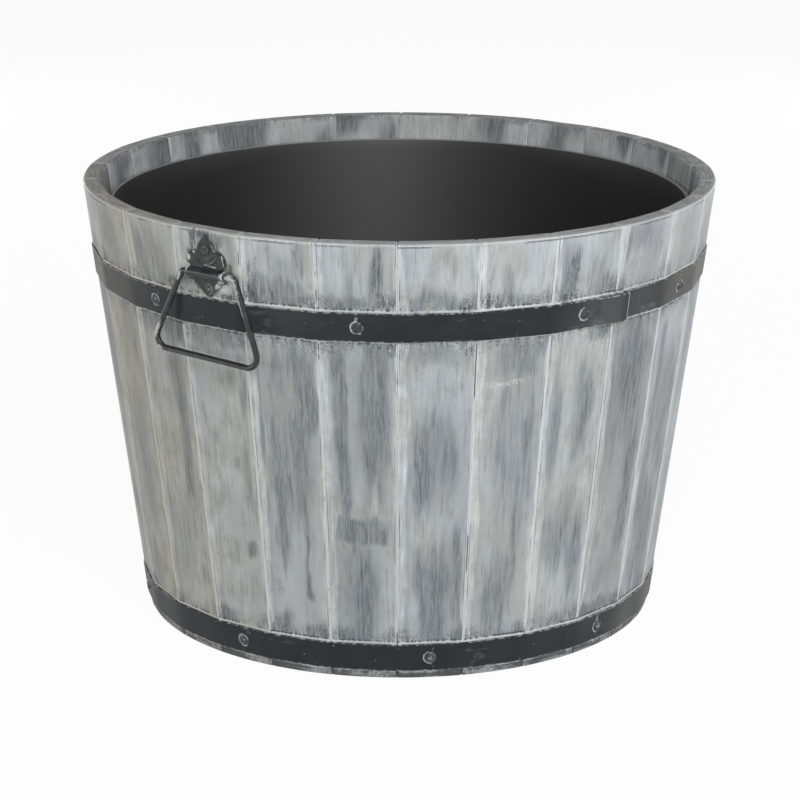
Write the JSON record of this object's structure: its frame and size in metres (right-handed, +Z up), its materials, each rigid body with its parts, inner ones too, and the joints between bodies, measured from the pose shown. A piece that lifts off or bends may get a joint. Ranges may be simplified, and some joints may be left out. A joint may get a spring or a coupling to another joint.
{
  "type": "staved tub planter",
  "caption": "Whitewashed staved wooden tub planter with steel hoops, a lift-out plastic liner and swinging wire handles.",
  "frame": {"origin": "on the floor under the tub's axis", "axes": "+Z up along the tub's axis, the handles face -X and +X"},
  "size_m": [0.4402, 0.44, 0.307],
  "materials": {
    "whitewashed_wood": "brushed whitewash over grey stain",
    "base_wood": "sawn, grey stained",
    "hoop_steel": "satin charcoal, scuffed",
    "hoop_screw_steel": "satin charcoal with whitewash round the rim",
    "base_screw_steel": "plain",
    "liner_plastic": "smooth satin black",
    "handle_plate_steel": "satin black with whitewash splashes",
    "handle_wire": "satin black with whitewash splashes"
  },
  "bodies": {
    "tub": {"stave_01": "whitewashed_wood", "stave_02": "whitewashed_wood", "stave_03": "whitewashed_wood", "stave_04": "whitewashed_wood", "stave_05": "whitewashed_wood", "stave_06": "whitewashed_wood", "stave_07": "whitewashed_wood", "stave_08": "whitewashed_wood", "stave_09": "whitewashed_wood", "stave_10": "whitewashed_wood", "stave_11": "whitewashed_wood", "stave_12": "whitewashed_wood", "stave_13": "whitewashed_wood", "stave_14": "whitewashed_wood", "stave_15": "whitewashed_wood", "stave_16": "whitewashed_wood", "stave_17": "whitewashed_wood", "stave_18": "whitewashed_wood", "stave_19": "whitewashed_wood", "stave_20": "whitewashed_wood", "stave_21": "whitewashed_wood", "stave_22": "whitewashed_wood", "stave_23": "whitewashed_wood", "stave_24": "whitewashed_wood", "stave_25": "whitewashed_wood", "stave_26": "whitewashed_wood", "upper_hoop": "hoop_steel", "upper_hoop_screws": "hoop_screw_steel", "lower_hoop": "hoop_steel", "lower_hoop_screws": "hoop_screw_steel", "base_board_1": "base_wood", "base_board_2": "base_wood", "base_board_3": "base_wood", "base_board_4": "base_wood", "base_board_5": "base_wood", "base_batten_left": "base_wood", "base_batten_right": "base_wood", "base_screws": "base_screw_steel", "left_handle_plate": "handle_plate_steel", "left_handle_screws": "handle_plate_steel", "right_handle_plate": "handle_plate_steel", "right_handle_screws": "handle_plate_steel"},
    "liner": {"liner": "liner_plastic"},
    "left_handle": {"left_handle_loop": "handle_wire"},
    "right_handle": {"right_handle_loop": "handle_wire"}
  },
  "joints": [
    {"name": "liner_lift", "type": "slide", "parent": "tub", "child": "liner", "axis": [0, 0, 1], "range_m": [0, 0.3]},
    {"name": "left_handle_swing", "type": "hinge", "parent": "tub", "child": "left_handle", "pos_m": [-0.21697, 0, 0.27771], "axis": [0, 1, 0], "range_deg": [-3, 170]},
    {"name": "right_handle_swing", "type": "hinge", "parent": "tub", "child": "right_handle", "pos_m": [0.21697, 0, 0.27771], "axis": [0, -1, 0], "range_deg": [-3, 170]}
  ]
}
